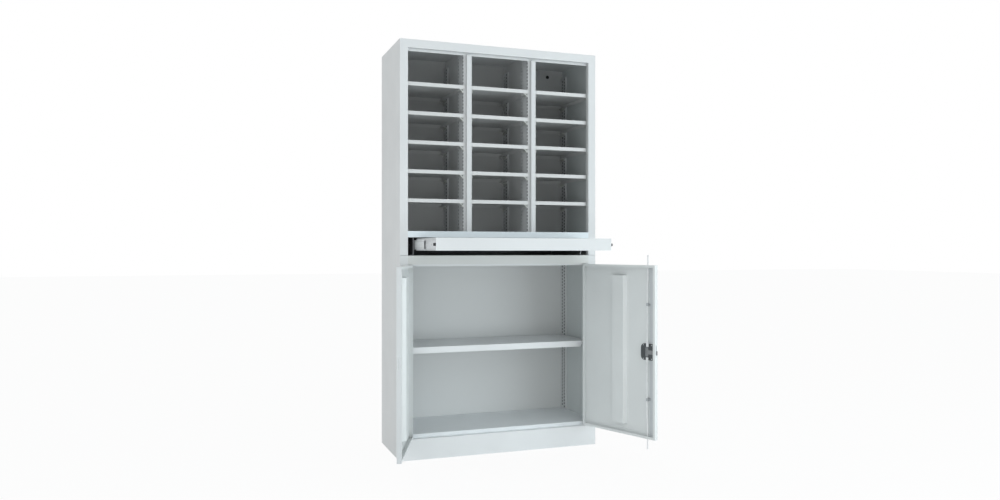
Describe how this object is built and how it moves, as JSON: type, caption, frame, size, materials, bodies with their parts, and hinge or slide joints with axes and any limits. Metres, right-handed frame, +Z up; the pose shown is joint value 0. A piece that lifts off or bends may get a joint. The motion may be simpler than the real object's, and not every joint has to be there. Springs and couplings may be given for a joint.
{
  "type": "pigeonhole mail sorter",
  "caption": "Sheet-steel mail cabinet: open pigeonholes on adjustable shelves, a pull-out work shelf on telescopic slides, and a cupboard with hinged doors locked by rods.",
  "frame": {"origin": "middle of the cabinet's floor area, on the floor", "axes": "+X to the right of someone facing the open front, +Y towards the back panel, +Z up"},
  "size_m": [1.2269, 0.8233, 1.95],
  "materials": {
    "carcass_paint": "satin",
    "shelf_paint": "satin",
    "door_paint": "satin",
    "slide_zinc": "satin",
    "fastener_zinc": "satin",
    "rod_zinc": "satin",
    "lock_case_dark": "satin",
    "cam_steel": "satin",
    "handle_plastic": "matte",
    "cylinder_chrome": "polished",
    "pale_plastic": "matte",
    "dark_plastic": "matte",
    "clip_zinc": "satin"
  },
  "bodies": {
    "cabinet": {"back_panel": "carcass_paint", "cupboard_corner_posts": "carcass_paint", "cupboard_floor": "carcass_paint", "cupboard_shelf": "shelf_paint", "divider_front_posts": "carcass_paint", "divider_rear_posts": "carcass_paint", "header_rail": "carcass_paint", "hinge_pins": "fastener_zinc", "left_bay_bracket": "carcass_paint", "left_divider": "carcass_paint", "left_side_panel": "carcass_paint", "left_slide_outer": "slide_zinc", "left_sorter_shelf_1": "shelf_paint", "left_sorter_shelf_2": "shelf_paint", "left_sorter_shelf_3": "shelf_paint", "left_sorter_shelf_4": "shelf_paint", "left_sorter_shelf_5": "shelf_paint", "middle_rail": "carcass_paint", "middle_sorter_shelf_1": "shelf_paint", "middle_sorter_shelf_2": "shelf_paint", "middle_sorter_shelf_3": "shelf_paint", "middle_sorter_shelf_4": "shelf_paint", "middle_sorter_shelf_5": "shelf_paint", "plinth": "carcass_paint", "right_bay_bracket": "carcass_paint", "right_divider": "carcass_paint", "right_side_panel": "carcass_paint", "right_slide_outer": "slide_zinc", "right_sorter_shelf_1": "shelf_paint", "right_sorter_shelf_2": "shelf_paint", "right_sorter_shelf_3": "shelf_paint", "right_sorter_shelf_4": "shelf_paint", "right_sorter_shelf_5": "shelf_paint", "shelf_clips": "clip_zinc", "slide_screws": "fastener_zinc", "sorter_corner_posts": "carcass_paint", "sorter_floor": "carcass_paint", "top_panel": "carcass_paint"},
    "left_door": {"left_door": "door_paint", "left_door_stiffener": "door_paint", "left_hinge_bushes": "pale_plastic"},
    "right_door": {"right_door": "door_paint", "right_door_stiffener": "door_paint", "right_hinge_bushes": "pale_plastic", "lock_case": "lock_case_dark", "rod_guides": "clip_zinc"},
    "lock_handle": {"lock_cam": "cam_steel", "door_handle": "handle_plastic", "lock_cylinder": "cylinder_chrome"},
    "top_rod": {"top_rod": "rod_zinc"},
    "bottom_rod": {"bottom_rod": "rod_zinc"},
    "work_shelf": {"work_shelf": "shelf_paint", "left_slide_inner": "slide_zinc", "right_slide_inner": "slide_zinc", "slide_end_caps": "dark_plastic", "shelf_screws": "fastener_zinc"},
    "left_slide_middle": {"left_slide_middle": "slide_zinc", "left_slide_retainer": "slide_zinc"},
    "right_slide_middle": {"right_slide_middle": "slide_zinc", "right_slide_retainer": "slide_zinc"}
  },
  "joints": [
    {"name": "left_door_hinge", "type": "hinge", "parent": "cabinet", "child": "left_door", "pos_m": [-0.4505, -0.1935, 0.50425], "axis": [0, 0, -1], "range_deg": [-110, 0]},
    {"name": "right_door_hinge", "type": "hinge", "parent": "cabinet", "child": "right_door", "pos_m": [0.4505, -0.1935, 0.50425], "axis": [0, 0, 1], "range_deg": [-110, 0]},
    {"name": "work_shelf_slide", "type": "slide", "parent": "cabinet", "child": "work_shelf", "axis": [0, -1, 0], "range_m": [-0.3245, 0]},
    {"name": "left_slide_middle_slide", "type": "slide", "parent": "cabinet", "child": "left_slide_middle", "axis": [0, -1, 0], "range_m": [-0.16225, 0]},
    {"name": "right_slide_middle_slide", "type": "slide", "parent": "cabinet", "child": "right_slide_middle", "axis": [0, -1, 0], "range_m": [-0.16225, 0]},
    {"name": "lock_turn", "type": "hinge", "parent": "right_door", "child": "lock_handle", "pos_m": [0.59119, -0.56105, 0.50125], "axis": [-0.9397, -0.342, 0], "range_deg": [0, 180]},
    {"name": "top_rod_slide", "type": "slide", "parent": "right_door", "child": "top_rod", "axis": [0, 0, -1], "range_m": [0, 0.05]},
    {"name": "bottom_rod_slide", "type": "slide", "parent": "right_door", "child": "bottom_rod", "axis": [0, 0, 1], "range_m": [0, 0.05]}
  ],
  "couplings": [
    {"joint": "left_slide_middle_slide", "follows": "work_shelf_slide", "ratio": 0.5},
    {"joint": "right_slide_middle_slide", "follows": "work_shelf_slide", "ratio": 0.5},
    {"joint": "top_rod_slide", "follows": "lock_turn", "m_per_rad": 0.0159},
    {"joint": "bottom_rod_slide", "follows": "lock_turn", "m_per_rad": 0.0159}
  ]
}
